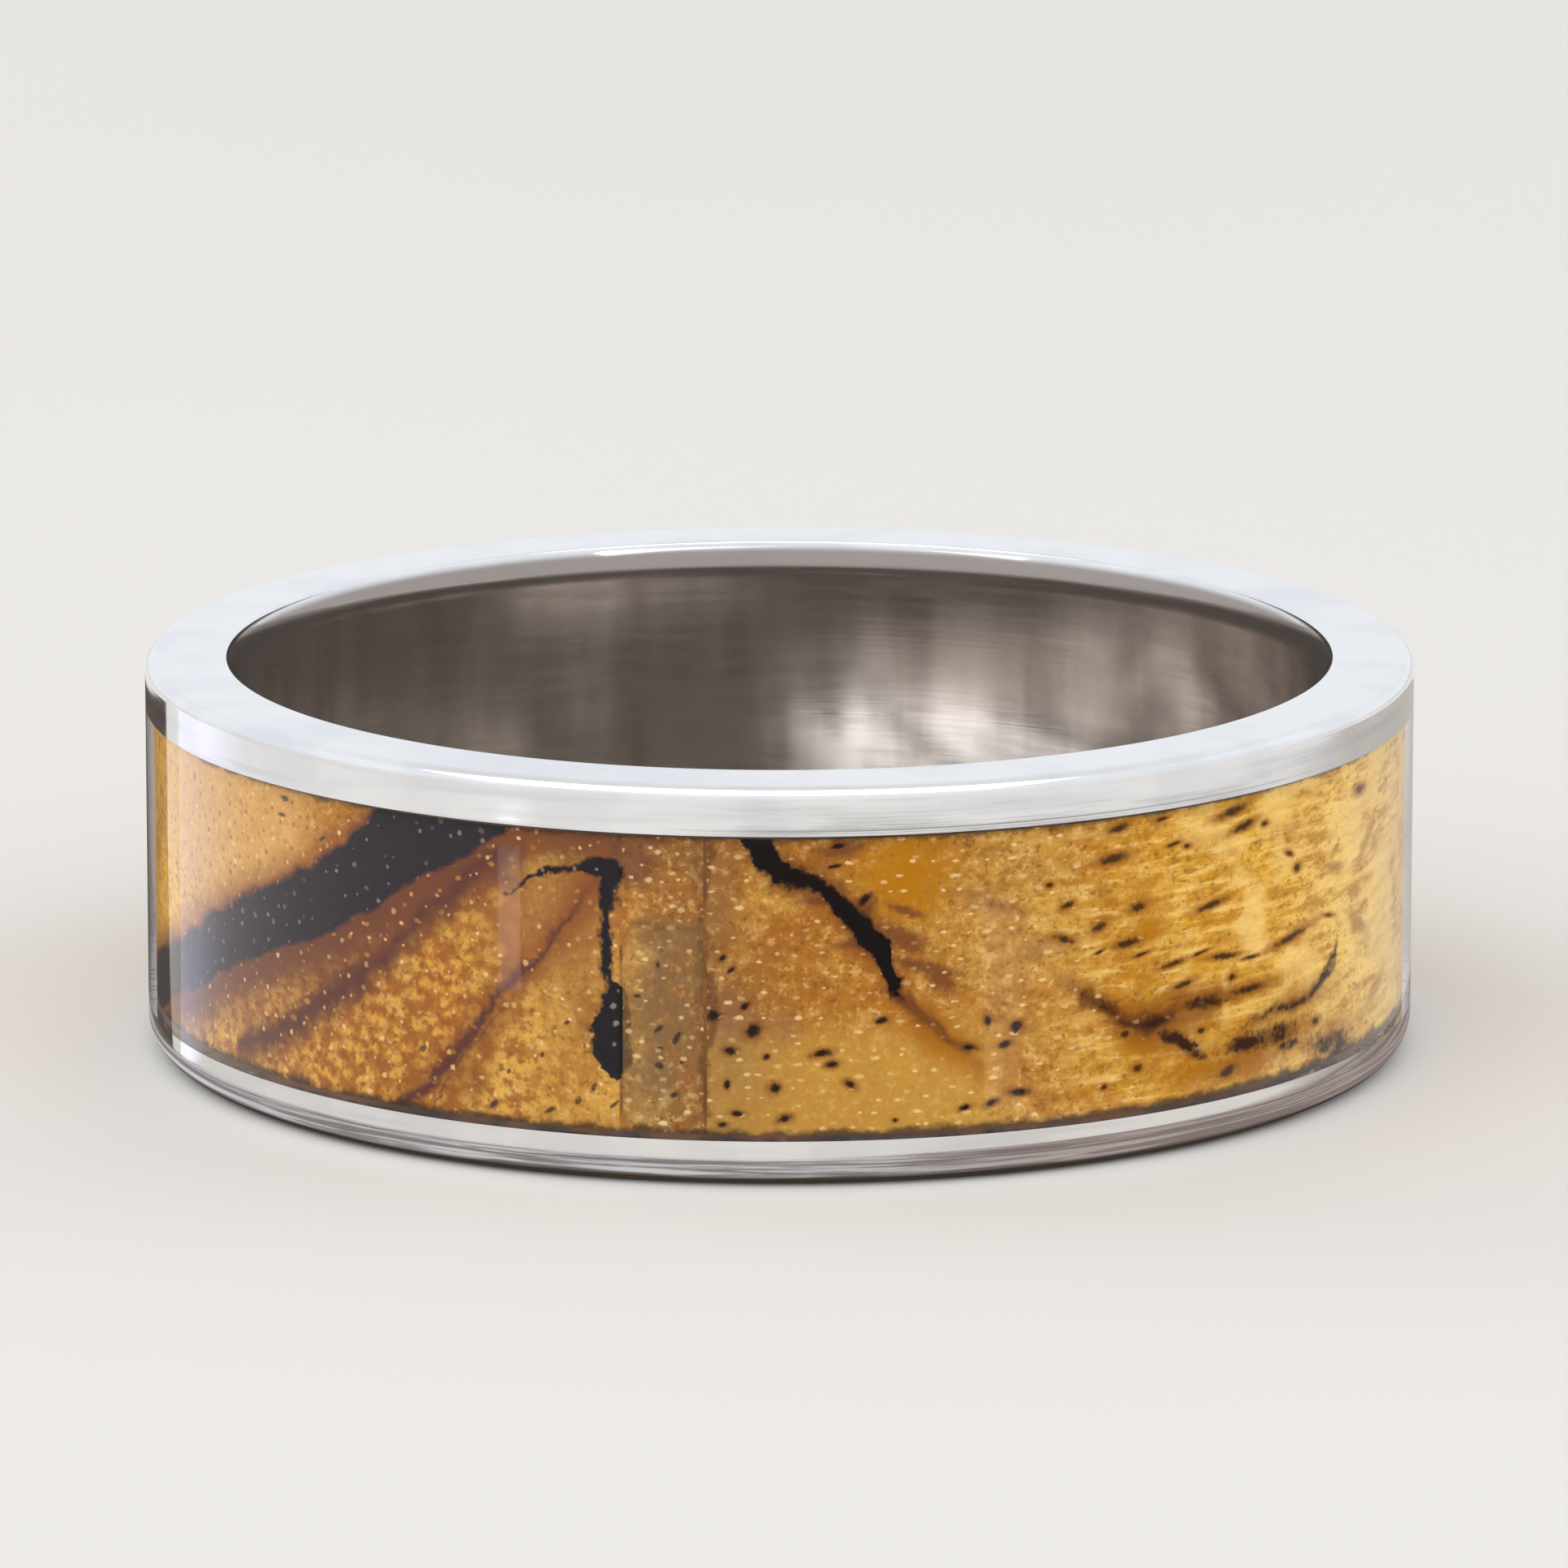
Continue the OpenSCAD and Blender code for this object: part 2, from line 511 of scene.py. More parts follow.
def paint_seam_stain(wood):
    """The brown stain that wanders along the second seam."""
    wood.paint((0.10, 0.045, 0.018), wood.post(
        [(-2.3, -6.6), (-1.2, -6.5), (-0.7, -6.1), (0.0, -6.2), (0.4, -6.6), (1.0, -6.6),
         (2.0, -6.1), (2.7, -5.7)],
        [(-2.3, 0.1), (-0.7, 0.45), (0.4, 0.4), (1.0, 0.25), (2.7, 0.4)], 0.4) * 0.7)


def left_wood(colours):
    """The wood left of the front: a broad black zone, brown veins and scaly orange wood."""
    wood = Wood("wood left", colours)
    violet = (0.085, 0.03, 0.028)
    # The run is the wood's own tone, made much lighter at the far left to make up for the weak light
    # there: partly painted light.
    wood.body([
        (-180, (0.60, 0.30, 0.05)), (-110, (0.66, 0.35, 0.06)), (-74, (0.98, 0.54, 0.05)),
        (-66, (0.62, 0.33, 0.08)), (-45, (0.45, 0.185, 0.025)), (-30, (0.44, 0.18, 0.024)),
        (-22, (0.58, 0.32, 0.06)), (-14, (0.46, 0.21, 0.032))], 0.6)

    # The broad black zone between two edges
    top = wood.rough_turn.curve([
        (-95, -2.7), (-80, -1.45), (-70, -0.85), (-60, 0.15), (-50, 1.0), (-45, 1.5), (-41, 2.1),
        (-37, 2.8)])
    bottom = wood.rough_turn.curve([
        (-84, -2.9), (-75, -2.2), (-70, -1.8), (-65, -1.5), (-60, -1.0), (-55, -0.6), (-50, -0.2),
        (-45, 0.15), (-40, 0.65), (-35, 1.3), (-30, 1.85), (-25, 2.4), (-22, 2.9)])
    over = wood.rough_height - top
    under = bottom - wood.rough_height

    paler = wood.between(-74, -50, 6.0) * wood.rough_height.step(-0.5, 1.0)
    wood.paint((0.66, 0.39, 0.13), paler * 0.6)

    # Scaly cells with darker borders
    scales = wood.cells(wood.stretch(wood.level, 0.75, 1.0, 0.0), 3.8)
    scales = scales + wood.grit * 1.2
    scaly = wood.between(-66, -24, 6.0) * under.step(0.0, 0.4)
    wood.paint((0.28, 0.085, 0.016), scales.step(0.3, 0.7) * scaly * 0.7)
    wood.paint((0.68, 0.36, 0.07), scales.step(0.38, 0.08) * scaly * 0.7)
    # Browner wood above the thin black line and round the second vein
    wood.paint((0.12, 0.04, 0.024), wood.marks([
        (-18, 2.5, 2.8, 0.9, 0), (-14.5, 2.3, 1.2, 1.0, 0)], 0.6) * 0.9)
    wood.paint((0.30, 0.12, 0.035), wood.marks([
        (-22, 0.9, 1.7, 1.6, 40), (-18.5, 0.8, 1.3, 1.8, -20), (-17, 1.5, 1.3, 0.9, 0)], 0.8) * 0.8)

    wood.paint((0.26, 0.085, 0.02), over.step(0.7, 0.0) * under.step(1.0, 0.1) * 0.8)
    halo = under.step(1.25, 0.2) * over.step(0.2, 0.0) * wood.between(-75, -16, 4.0)
    wood.paint((0.13, 0.045, 0.028), halo * 0.85)
    black = over.step(0.07, -0.07) * under.step(0.07, -0.07)

    # Veins
    vein = [(-58, -2.3), (-50, -1.65), (-45, -1.0), (-40, -0.4), (-35, 0.5), (-32, 1.0),
            (-28, 1.7), (-23, 2.35)]
    wood.paint((0.15, 0.05, 0.026),
               wood.stroke(vein, [(-58, 0.1), (-45, 0.45), (-23, 0.35)], 0.3) * 0.75)
    wood.paint(violet, wood.stroke(
        vein, [(-58, 0.05), (-45, 0.24), (-40, 0.22), (-35, 0.12), (-28, 0.1), (-23, 0.08)],
        0.2) * 0.8)
    second = [(-37, -2.75), (-33, -2.15), (-30, -1.5), (-27, -0.75), (-25, -0.2), (-22, 0.3),
              (-20, 0.8), (-18, 1.3), (-15.3, 1.9)]
    wood.paint((0.24, 0.075, 0.018), wood.stroke(
        second, [(-37, 0.35), (-30, 0.45), (-25, 0.35), (-18, 0.5), (-15, 0.6)], 0.35) * 0.75)
    wood.paint((0.22, 0.07, 0.018),
               wood.marks([(-26, -1.0, 1.6, 0.4, 62), (-28.5, -1.9, 0.9, 0.6, 50)], 0.7) * 0.6)
    wood.paint(violet, wood.stroke(
        second, [(-37, 0.14), (-32, 0.17), (-28, 0.14), (-25, 0.09), (-20, 0.08), (-15, 0.05)],
        0.12) * 0.9)
    wood.paint(violet, wood.stroke(
        [(-32, -2.5), (-30, -1.75), (-27, -1.05), (-24.5, -0.55)],
        [(-32, 0.05), (-24.5, 0.02)], 0.08) * 0.7)

    # The thin black line that ends in a knot and a blotch, both cut off by the seam
    wood.paint((0.24, 0.08, 0.02), wood.marks([
        (-17.5, 1.75, 1.5, 0.8, 0), (-16.5, -0.6, 0.9, 1.4, 0), (-22, 2.4, 1.6, 0.5, 0)], 0.8) * 0.6)
    black |= wood.stroke(
        [(-25, 1.35), (-23.5, 1.6), (-21.5, 1.83), (-19, 1.92), (-16.5, 1.98), (-14, 2.0)],
        [(-25, 0.0), (-23, 0.05), (-18, 0.07), (-16.5, 0.13), (-15, 0.16), (-14, 0.16)], 0.04)
    black |= blotch(wood)
    pores = wood.marks([
        (-18, -2.1, 0.16, 0.1, 60), (-20.5, -2.3, 0.22, 0.09, 30), (-26, -2.3, 0.22, 0.1, 40),
        (-21.3, -1.35, 0.1, 0.07, 60), (-24.5, -1.7, 0.09, 0.08, 60), (-16.5, -1.85, 0.18, 0.08, 60),
        (-19, -0.75, 0.12, 0.06, 30), (-50, 2.4, 0.2, 0.1, 0), (-50.5, 2.1, 0.22, 0.08, 0),
        (-45, 1.85, 0.15, 0.08, 30), (-14.6, -2.12, 0.18, 0.07, 40), (-33.3, -1.5, 0.16, 0.09, 30)])

    dots = wood.specks(0.34, 0.05, 0.8) * wood.between(-72, -14, 6.0)
    grains = wood.specks(0.2, 0.06, 0.6) * over.step(0.0, 0.4)
    zone = wood.mix(colours.zone, (0.026, 0.021, 0.028), wood.turn.step(-20.0, -28.0))
    wood.paint((0.24, 0.09, 0.02), grains * 0.7)
    wood.paint(zone, black | (pores * 0.8))
    wood.paint((0.88, 0.54, 0.24), dots * black.step(0.4, 0.0) * 0.8)
    wood.paint((0.42, 0.30, 0.24), dots * black * 0.6)
    golden = wood.specks(0.27, 0.06, 0.5, 1.4) * 0.5 * wood.turn.step(-62, -50)
    wood.paint(colours.gold, golden * black.step(0.4, 0.0))
    return wood.finish_wood()


def key_wood(colours):
    """The narrow closing piece: greyer and flecked."""
    wood = Wood("wood key", colours)
    wood.body([
        (-14, (0.40, 0.16, 0.028)), (-12.8, (0.50, 0.25, 0.042)), (-11.5, (0.31, 0.14, 0.032)),
        (-9, (0.27, 0.12, 0.03)), (-6.5, (0.27, 0.105, 0.02))], 0.75)
    wood.paint((0.13, 0.045, 0.025),
               wood.marks([(-13.2, 2.15, 0.9, 1.0, 30), (-12, 2.6, 0.9, 0.5, 0)], 0.6) * 0.8)
    dirt = wood.noise(wood.at, 4.0, 4.0, 0.7).step(0.36, 0.6) * 0.5 + 0.5
    patch = wood.marks([
        (-10, -0.6, 1.4, 3.0, 0), (-12, -1.6, 1.2, 1.6, 0), (-9.5, 0.8, 1.3, 0.7, 0)], 0.8)
    wood.paint((0.20, 0.115, 0.05), patch * dirt * 0.9)
    wood.paint((0.11, 0.06, 0.03), wood.marks([
        (-11.8, 1.05, 0.4, 0.12, 0), (-9.5, 1.0, 0.8, 0.07, 0), (-8.7, 2.25, 0.4, 0.06, 60),
        (-6.7, 0.0, 0.3, 2.0, 0), (-7.2, 2.1, 0.2, 0.9, 0)], 0.8) * 0.5)
    black = (blotch(wood) * 0.6) | (wood.marks([
        (-10.7, 0.35, 0.12, 0.08, 60), (-9.0, -0.9, 0.22, 0.1, 60), (-10.6, -1.4, 0.14, 0.12, 0),
        (-10.5, -1.1, 0.1, 0.08, 0), (-9.2, -1.9, 0.15, 0.1, 30), (-10.6, -0.75, 0.2, 0.09, 40),
        (-12.6, -0.2, 0.12, 0.08, 0), (-8.5, -1.3, 0.12, 0.06, 60)]) * 0.8)
    paint_seam_stain(wood)
    wood.paint(colours.zone, black)
    wood.paint((0.86, 0.62, 0.32), wood.specks(0.24, 0.045, 0.8, 1.5) * 0.75)
    return wood.finish_wood()


def right_wood(colours):
    """The wood right of the front: golden, with long pores and one thick black line."""
    wood = Wood("wood right", colours)
    # The run is the wood's own tone, made lighter from 45 to 80 degrees to make up for the weak
    # light there: partly painted light.
    wood.body([
        (-6.5, (0.28, 0.11, 0.02)), (-2, (0.36, 0.135, 0.018)), (8, (0.41, 0.165, 0.02)),
        (12, (0.44, 0.20, 0.024)), (22, (0.48, 0.245, 0.05)), (32, (0.56, 0.27, 0.022)),
        (45, (0.70, 0.38, 0.032)), (60, (0.86, 0.56, 0.12)), (80, (0.80, 0.53, 0.14)),
        (110, (0.62, 0.36, 0.08)), (166, (0.60, 0.32, 0.06))], 0.65)
    low = wood.rough_height.step(-0.2, -1.2) * wood.between(-6, 16, 6.0)
    wood.paint((0.56, 0.32, 0.06), low * 0.6)
    wood.paint((0.24, 0.13, 0.045), wood.marks(
        [(-4.5, -1.1, 1.5, 2.8, 0), (-5.5, 1.5, 0.6, 2.4, 0)], 0.9) * 0.5)

    streaks = wood.noise(wood.stretch(wood.level, 0.6, 3.5, 1.0), 1.4, 4.0, 0.65)
    sides = wood.turn.step(20, 34)
    wood.paint((0.44, 0.19, 0.012), streaks.step(0.5, 0.64) * sides * 0.7)
    wood.paint((0.88, 0.62, 0.20), streaks.step(0.5, 0.36) * sides * 0.6)
    pale = wood.noise(wood.at, 0.9, 2.0).step(0.46, 0.6) * wood.turn.step(32, 46)
    wood.paint((0.86, 0.60, 0.20), pale * 0.6)
    amber = wood.marks([
        (11, 1.9, 1.4, 1.5, 80), (34.5, 0.6, 0.8, 0.5, 0), (34, -1.5, 1.3, 0.4, -15),
        (40, -2.1, 1.6, 0.5, 0), (47, -2.2, 1.2, 0.6, 0), (14, -0.9, 1.4, 0.6, -40)], 0.8)
    wood.paint((0.42, 0.165, 0.002), amber * 0.95)
    wood.paint((0.22, 0.10, 0.06), wood.marks([
        (18.7, 1.35, 1.0, 0.3, -20), (24, 0.5, 0.9, 0.3, 10), (27, -0.3, 0.7, 0.3, -40),
        (0.5, -0.7, 0.5, 0.5, 0), (-4, -0.6, 0.7, 0.9, 0)], 0.9) * 0.45)

    # The thick black line and the rusty end that it fades to
    line = [(-3.2, 2.9), (-1.6, 2.42), (0, 2.06), (2, 1.86), (4, 1.7), (5.2, 1.42), (6.5, 1.15),
            (8, 0.88), (9.2, 0.5), (10.3, 0.05), (11.3, -0.35)]
    rust = wood.stroke(line[2:-1] + [(12, -0.5), (15, -1.0), (18, -1.5)],
                       [(0, 0.25), (8, 0.5), (12, 0.4), (18, 0.15)], 0.4)
    wood.paint((0.30, 0.10, 0.015), rust * 0.75)
    wood.paint((0.13, 0.04, 0.012), wood.stroke(
        [(9.5, 0.3), (11, -0.25), (13, -0.6), (15, -1.0), (16.7, -1.2)],
        [(9.5, 0.2), (11, 0.22), (13, 0.13), (16.7, 0.05)], 0.12) * 0.8)
    wood.paint(colours.brown, wood.marks([
        (11, 0.8, 0.9, 0.4, -30), (12.8, 0.3, 1.2, 0.22, -15), (14.3, 0.08, 0.6, 0.4, -50),
        (6.8, 0.75, 0.6, 0.2, 0), (3.5, 1.5, 0.6, 0.15, 0), (7.6, 1.4, 0.4, 0.3, 40),
        (5.4, 2.4, 0.8, 0.3, 10), (11, 1.3, 0.6, 0.16, -20)], 0.6) * 0.9)
    thick = [(-3.2, 0.45), (-1.6, 0.42), (0, 0.24), (2, 0.16), (4, 0.15), (5.2, 0.25), (8, 0.33),
             (9.2, 0.4), (10.2, 0.22), (11.0, 0.0)]
    fringe = wood.stroke(line, [(turn, half + 0.1) for turn, half in thick], 0.2)
    wood.paint((0.09, 0.03, 0.012), fringe * 0.75)
    black = wood.stroke(line, thick, 0.06, 0.2)

    # Brown stains low on the right
    run = [(27.5, -0.5), (29.5, -0.62), (31, -0.8), (32.5, -1.0), (35, -1.08), (38, -1.0),
           (43, -0.9)]
    wood.paint((0.24, 0.075, 0.006), wood.stroke(
        run, [(27.5, 0.15), (31, 0.28), (35, 0.4), (43, 0.25)], 0.25) * 0.9)
    wood.paint((0.28, 0.09, 0.008), wood.marks([
        (49, -1.9, 3.2, 0.9, 0), (60, -2.2, 2.0, 0.7, 0), (55, -1.3, 2.0, 0.5, 0),
        (38.5, -1.55, 1.4, 0.5, -20), (45, -0.85, 2.4, 0.35, 0)], 0.9) * 0.75)
    stains = wood.stroke(
        run[:-1], [(27.5, 0.0), (29, 0.12), (30.5, 0.1), (32, 0.08), (35, 0.16), (38, 0.0)], 0.15)
    stains |= wood.stroke([(35.5, -1.3), (38.5, -1.5), (40, -1.75), (41.5, -1.9)],
                          [(35.5, 0.0), (39, 0.1), (41.5, 0.0)])
    stains |= wood.stroke(
        [(46, -1.5), (50, -1.38), (54, -1.36), (57, -1.2), (59, -1.0), (60.5, -0.75), (61, -0.55)],
        [(46, 0.0), (50, 0.08), (57, 0.09), (60.5, 0.2), (61, 0.1)], 0.1)
    stains |= wood.marks([
        (46.5, -1.8, 0.95, 0.32, 0), (50.5, -1.8, 1.2, 0.35, 0), (60.5, -2.35, 1.5, 0.45, -10),
        (52.5, -2.05, 0.6, 0.2, 0), (42, -0.9, 1.3, 0.22, 0), (29.3, -0.62, 0.35, 0.18, -20)], 0.6)
    patchy = wood.noise(wood.at, 3.0, 3.0, 0.6).step(0.38, 0.5) * 0.4 + 0.6
    wood.paint((0.035, 0.012, 0.006), stains * patchy)
    wood.paint((0.36, 0.17, 0.04), wood.marks([
        (67.5, 1.05, 1.1, 0.25, 40), (65.5, -0.4, 1.1, 0.25, -30), (60, 0.85, 0.8, 0.15, -10),
        (70, -1.8, 1.1, 0.3, 20)], 0.7) * 0.7)

    pores = wood.near([
        (-5, 0.5, 0.12, 0.09, 40), (-4.2, 0.3, 0.14, 0.08, 40), (-5.8, -0.5, 0.24, 0.17, 20),
        (-3, -0.33, 0.16, 0.09, 40), (-2.3, -0.75, 0.26, 0.2, 40), (-4.3, -1.1, 0.2, 0.12, 0),
        (-1.1, -1.2, 0.12, 0.08, 20), (3.7, -1.15, 0.3, 0.12, 10), (4.6, -1.35, 0.2, 0.12, 10),
        (9.0, -0.6, 0.18, 0.1, 10), (6.2, -1.7, 0.22, 0.11, -30), (-3.7, -2.2, 0.2, 0.09, -10),
        (0.5, -2.28, 0.22, 0.12, 20), (10.2, -2.35, 0.09, 0.06, 0), (-5, -2.4, 0.14, 0.09, 0),
        (-0.4, -1.75, 0.18, 0.16, 0), (-4.6, -1.7, 0.08, 0.14, 0), (7.4, 1.5, 0.26, 0.14, 40),
        (16.5, -2.2, 0.2, 0.09, 10), (16.9, -1.15, 0.24, 0.12, 0), (18.6, -0.7, 0.12, 0.18, 10),
        (21.3, -0.85, 0.22, 0.18, 20), (20.2, -1.15, 0.24, 0.1, 10), (21.5, -2.0, 0.34, 0.12, 0),
        (19, -2.15, 0.2, 0.1, 20), (5.2, 2.45, 0.26, 0.08, 10), (4.8, 2.1, 0.2, 0.06, 10)])
    dashes = wood.near([
        (31.4, 2.4, 0.34, 0.13, 10), (30.8, 1.88, 0.54, 0.15, 5), (33.5, 0.98, 0.34, 0.14, 10),
        (29.4, 0.72, 0.24, 0.14, 20), (26.2, 1.17, 0.24, 0.1, 20), (25.9, 0.58, 0.36, 0.12, -20),
        (32.3, 0.37, 0.46, 0.13, 5), (33.9, 0.14, 0.3, 0.06, 10), (29.4, 0.28, 0.2, 0.05, 20),
        (24.4, 1.55, 0.15, 0.08, 0), (36, 2.45, 0.22, 0.06, 10), (37.4, 1.98, 0.24, 0.07, 10),
        (38.9, 1.9, 0.14, 0.07, 0), (44.4, 2.35, 0.62, 0.15, 10), (45.9, 2.05, 0.52, 0.13, 10),
        (41.7, 0.78, 0.56, 0.11, 10), (37.4, -0.12, 0.46, 0.09, 10), (40.6, -0.02, 0.36, 0.06, 10),
        (43.5, -0.17, 0.62, 0.1, -5), (47, -0.3, 0.36, 0.06, 0), (44.5, -0.57, 0.18, 0.1, 0),
        (32.2, -1.22, 0.18, 0.1, 0), (33.5, -1.86, 0.2, 0.14, 10), (40.7, -1.4, 0.18, 0.09, 0),
        (46.8, -0.85, 0.82, 0.13, 0), (44.1, -2.22, 0.42, 0.18, 10), (30, -2.1, 0.12, 0.07, 20),
        (48.8, 2.0, 0.16, 0.09, 0), (53.7, 1.05, 0.18, 0.12, 0), (52.4, 1.35, 0.2, 0.08, -20),
        (52.7, -0.15, 0.85, 0.12, 10), (57, -1.8, 0.22, 0.12, 0), (59.2, 0.0, 0.3, 0.06, -10),
        (65.5, 2.0, 0.36, 0.14, 0), (38.5, -0.52, 0.42, 0.1, 10)])
    spread = wood.cells(wood.grain, 0.9, "3D").step(0.13, 0.09) * wood.between(68, 180, 8.0)
    wood.paint((0.22, 0.08, 0.018), pores.step(2.6, 1.0) * 0.7)
    wood.paint((0.32, 0.12, 0.012), dashes.step(2.8, 1.0) * 0.8)
    paint_seam_stain(wood)
    black |= (pores.step(1.5, 0.5) * 0.95) | (dashes.step(1.5, 0.4) * 0.85) | (spread * 0.9)
    wood.paint((0.007, 0.005, 0.005), black)
    flecks = wood.specks(0.24, 0.04, 0.8, 2.0) * (wood.turn.step(40, 22) * 0.8 + 0.2)
    wood.paint((0.88, 0.62, 0.30), flecks * black.step(0.5, 0.0) * 0.75)
    return wood.finish_wood()


def seam_finish(colours):
    """The thin adhesive of a seam, black where black wood meets it."""
    wood = Wood("seam adhesive", colours)
    wood.shade = wood.mix((0.36, 0.15, 0.03), (0.20, 0.075, 0.02),
                          wood.noise(wood.at, 2.5, 3.0).step(0.42, 0.62))
    wood.paint((0.13, 0.045, 0.022), wood.height.step(1.9, 2.2) * 0.8)
    paint_seam_stain(wood)
    wood.paint((0.003, 0.003, 0.004), blotch(wood))
    return wood.finish_wood()


# ------------------------ shapes

def arc(centre_r, centre_z, radius, start, end, count):
    """Points (radius, height) along an arc, from angle start to angle end in degrees."""
    turns = [math.radians(start + (end - start) * i / count) for i in range(count + 1)]
    return [(centre_r + radius * math.cos(t), centre_z + radius * math.sin(t)) for t in turns]


def turned(outline, steps, start=0.0, end=FULL_TURN):
    """A bmesh of a closed outline of (radius, height) points, turned about the ring's axis.

    Angles are from the front and positive to the right. A part turn is closed
    at both ends."""
    bm = bmesh.new()
    whole = end - start >= FULL_TURN
    first = [bm.verts.new((r * math.sin(start), -r * math.cos(start), z)) for r, z in outline]
    edges = [bm.edges.new((a, b)) for a, b in zip(first, first[1:] + first[:1])]
    count = steps if whole else max(2, round(steps * (end - start) / FULL_TURN))
    made = bmesh.ops.spin(
        bm, geom=first + edges, cent=(0, 0, 0), axis=(0, 0, 1), dvec=(0, 0, 0),
        angle=end - start, steps=count, use_merge=whole, use_duplicate=False)
    if not whole:
        last = [edge for edge in made["geom_last"] if isinstance(edge, bmesh.types.BMEdge)]
        for ring in (edges, last):
            bmesh.ops.holes_fill(bm, edges=ring, sides=0)
    bmesh.ops.remove_doubles(bm, verts=bm.verts, dist=1e-8)
    bmesh.ops.recalc_face_normals(bm, faces=bm.faces)
    return bm


def add_object(name, bm, finishes):
    """Makes a bmesh an object at the origin."""
    mesh = bpy.data.meshes.new(name)
    bm.to_mesh(mesh)
    bm.free()
    for finish in finishes:
        mesh.materials.append(finish)
    made = bpy.data.objects.new(name, mesh)
    bpy.context.scene.collection.objects.link(made)
    return made


def add_piece(name, bm, finishes, slot, *nodes):
    """Makes a bmesh a finished piece that stands for CAD nodes."""
    piece = add_object(name, bm, finishes)
    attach(piece, BODY)
    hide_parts(*nodes)


def smooth(bm, angle=25.0):
    """Shades the faces smoothly and keeps the edges above an angle sharp."""
    for face in bm.faces:
        face.smooth = True
    for edge in bm.edges:
        if len(edge.link_faces) == 2 and edge.calc_face_angle() > math.radians(angle):
            edge.smooth = False


# ------------------------ pieces

def half_outline(shape, corner):
    """Half of the metal's section, from the bore to the channel's floor, as (radius, height)
    points. A point beside each rounded corner keeps the flat faces flat when they are smooth."""
    hug = 0.00002
    edge = shape.bore_corner
    land_z = RIM_Z - shape.comfort_w
    # The bore's easing is an arc that leaves the land smoothly and reaches the opening
    easing = (shape.comfort_w ** 2 + shape.comfort_open ** 2) / (2 * shape.comfort_open)
    sweep = math.degrees(math.asin(shape.comfort_w / easing))
    start = sweep * 0.93
    upper = arc(BORE_R + easing, land_z, easing, 180, 180 - start, 10)
    upper += arc(upper[-1][0] + edge * math.cos(math.radians(start)), RIM_Z - edge, edge,
                 180 - start, 90, 5)
    upper += [(upper[-1][0] + hug, RIM_Z), (BAND_R - corner - hug, RIM_Z)]
    upper += arc(BAND_R - corner, RIM_Z - corner, corner, 90, 0, 10)
    floor_r = BORE_R + shape.floor_t
    upper += [(BAND_R, RIM_Z - corner - hug), (BAND_R, CHANNEL_Z + hug), (BAND_R, CHANNEL_Z),
              (floor_r, CHANNEL_Z)]
    return [(BORE_R, land_z - hug)] + upper


def band_outline(shape):
    """The metal's whole section as (radius, height) points."""
    upper = half_outline(shape, shape.rail_corner)
    lower = half_outline(shape, shape.foot_corner)
    return upper + [(r, -z) for r, z in reversed(lower)]


class RingOperator:
    """What the ring's operators share."""
    bl_options = {"REGISTER", "UNDO"}

    def settings(self, context):
        return context.scene.ring_shape, context.scene.ring_colours


class RING_OT_band(RingOperator, bpy.types.Operator):
    """Builds the polished metal band with its channel"""
    bl_idname = "ring.band"
    bl_label = "Band"

    def execute(self, context):
        shape, colours = self.settings(context)
        bm = turned(band_outline(shape), shape.steps)
        smooth(bm, 40.0)
        add_piece("ring_band", bm, [metal_finish(colours)], "polished_metal", "band")
        return {"FINISHED"}


class RING_OT_wood(RingOperator, bpy.types.Operator):
    """Builds the three lengths of wood that fill the channel"""
    bl_idname = "ring.wood"
    bl_label = "Wood"

    def execute(self, context):
        shape, colours = self.settings(context)
        inner = BORE_R + shape.floor_t + shape.bed_t
        outline = [(inner, -WOOD_Z), (WOOD_R, -WOOD_Z), (WOOD_R, WOOD_Z), (inner, WOOD_Z)]
        half = shape.seam_t / 2 / WOOD_R
        for node, start, end, finish in (
                ("wood_left", BACK_SEAM - FULL_TURN, LEFT_SEAM, left_wood),
                ("wood_key", LEFT_SEAM, KEY_SEAM, key_wood),
                ("wood_right", KEY_SEAM, BACK_SEAM, right_wood)):
            bm = turned(outline, shape.steps, start + half, end - half)
            smooth(bm)
            add_piece("ring_" + node, bm, [finish(colours)], "wood", node)
        return {"FINISHED"}


class RING_OT_adhesive(RingOperator, bpy.types.Operator):
    """Builds the adhesive under the wood, beside it and in its three seams"""
    bl_idname = "ring.adhesive"
    bl_label = "Adhesive"

    def execute(self, context):
        shape, colours = self.settings(context)
        bed_r = BORE_R + shape.floor_t
        wood_r = bed_r + shape.bed_t
        bm = turned([
            (bed_r, -CHANNEL_Z), (WOOD_R, -CHANNEL_Z), (WOOD_R, -WOOD_Z), (wood_r, -WOOD_Z),
            (wood_r, WOOD_Z), (WOOD_R, WOOD_Z), (WOOD_R, CHANNEL_Z), (bed_r, CHANNEL_Z)],
            shape.steps)
        smooth(bm)
        add_piece("ring_bed_adhesive", bm, [bed_finish(colours)], "adhesive", "bed_adhesive")

        seam = seam_finish(colours)
        outline = [(wood_r, -WOOD_Z), (WOOD_R, -WOOD_Z), (WOOD_R, WOOD_Z), (wood_r, WOOD_Z)]
        half = shape.seam_t / 2 / WOOD_R
        for side, angle in (("left", LEFT_SEAM), ("key", KEY_SEAM), ("back", BACK_SEAM)):
            bm = turned(outline, shape.steps, angle - half, angle + half)
            add_piece("ring_seam_" + side, bm, [seam], "adhesive", "seam_glue_" + side)
        return {"FINISHED"}


